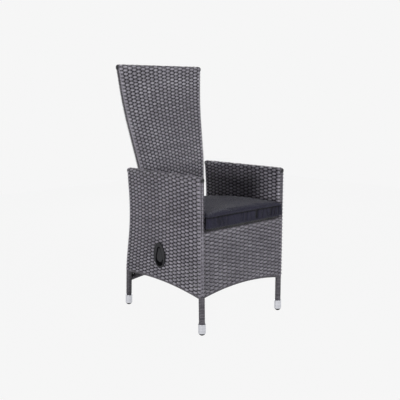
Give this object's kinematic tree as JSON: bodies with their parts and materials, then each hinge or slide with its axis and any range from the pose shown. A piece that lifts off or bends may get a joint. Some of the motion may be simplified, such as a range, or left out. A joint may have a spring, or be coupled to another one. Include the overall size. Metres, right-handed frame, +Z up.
{
  "type": "reclining garden armchair",
  "caption": "Woven high-back garden armchair on a tube frame, with a gas-spring reclining backrest, a side pull lever and a loose box seat cushion.",
  "frame": {"origin": "on the floor, midway between the chair's sides and midway between the foremost point of the seat cushion and the rearmost point of the backrest", "axes": "+Z up; the chair faces -Y; +X is the sitter's left, and the pull lever is on the -X side"},
  "size_m": [0.487, 0.5847, 1.093],
  "materials": {
    "strand": "extruded polyethylene strand, grained, dark grey",
    "frame_tube": "aluminium tube, black powder coat",
    "ferrule": "turned aluminium, satin anodised",
    "glide": "moulded polyamide, black",
    "plate": "steel plate, black powder coat",
    "bush": "moulded acetal, natural white",
    "zinc": "steel, bright zinc plated",
    "cylinder": "steel tube, gloss black paint",
    "rod": "ground steel, hard chromed",
    "head": "die-cast zinc alloy, as cast",
    "handle": "moulded ABS, fine spark-eroded grain, anthracite",
    "cushion": "solution-dyed polyester canvas, dark grey"
  },
  "bodies": {
    "seat_frame": {"back_panel_rail": "frame_tube", "foot_glides": "glide", "front_arch_rail": "frame_tube", "front_seat_rail": "frame_tube", "front_weave": "strand", "gas_spring_bracket": "plate", "gas_spring_front_pin": "zinc", "handle_cable_gland": "glide", "handle_clamp_ring": "handle", "handle_housing": "handle", "handle_screws": "zinc", "hinge_bushes": "bush", "left_arch_rail": "frame_tube", "left_arm_rail": "frame_tube", "left_front_leg": "frame_tube", "left_hinge_plate": "plate", "left_rear_leg": "frame_tube", "left_seat_rail": "frame_tube", "left_side_weave": "strand", "leg_ferrules": "ferrule", "lever_pin": "zinc", "rear_arch_rail": "frame_tube", "rear_seat_rail": "frame_tube", "rear_weave": "strand", "right_arch_rail": "frame_tube", "right_arm_rail": "frame_tube", "right_front_leg": "frame_tube", "right_hinge_plate": "plate", "right_rear_leg": "frame_tube", "right_seat_rail": "frame_tube", "right_side_weave": "strand", "seat_cross_tube": "frame_tube", "seat_deck": "strand"},
    "backrest": {"left_back_upright": "frame_tube", "right_back_upright": "frame_tube", "back_top_rail": "frame_tube", "back_bottom_rail": "frame_tube", "back_brace": "frame_tube", "back_weave": "strand", "hinge_bolts": "zinc", "hinge_plugs": "zinc", "gas_spring_horn": "plate", "gas_spring_rear_pin": "zinc"},
    "spring_rod": {"gas_rod": "rod", "gas_piston": "zinc", "release_head": "head", "head_cable_gland": "zinc", "release_lever_pin": "zinc"},
    "spring_cylinder": {"gas_cylinder": "cylinder", "rod_guide": "glide", "cylinder_eye": "zinc"},
    "head_lever": {"release_lever": "zinc"},
    "side_lever": {"pull_lever": "handle"},
    "cushion": {"seat_cushion": "cushion"}
  },
  "joints": [
    {"name": "recline", "type": "hinge", "parent": "seat_frame", "child": "backrest", "pos_m": [0, 0.1788, 0.432], "axis": [-1, 0, 0], "range_deg": [0, 30]},
    {"name": "gas_spring_swing", "type": "hinge", "parent": "seat_frame", "child": "spring_rod", "pos_m": [0, -0.04, 0.37289], "axis": [-1, 0, 0], "range_deg": [0, 1]},
    {"name": "gas_spring_stroke", "type": "slide", "parent": "spring_rod", "child": "spring_cylinder", "axis": [0, -0.9998, -0.0193], "range_m": [0, 0.03]},
    {"name": "handle_pull", "type": "hinge", "parent": "seat_frame", "child": "side_lever", "pos_m": [-0.232, 0, 0.316], "axis": [0, 1, 0], "range_deg": [0, 25], "stiffness_Nm_per_rad": 0.05},
    {"name": "release_lever_turn", "type": "hinge", "parent": "spring_rod", "child": "head_lever", "pos_m": [0, -0.01772, 0.35832], "axis": [-1, 0, 0], "range_deg": [0, 12.5]},
    {"name": "cushion_lift", "type": "slide", "parent": "seat_frame", "child": "cushion", "axis": [0, 0, 1], "range_m": [0, 0.12]}
  ],
  "couplings": [
    {"joint": "gas_spring_swing", "follows": "recline", "ratio": 0.03},
    {"joint": "gas_spring_stroke", "follows": "recline", "m_per_rad": 0.0566},
    {"joint": "release_lever_turn", "follows": "handle_pull", "ratio": 0.48}
  ]
}
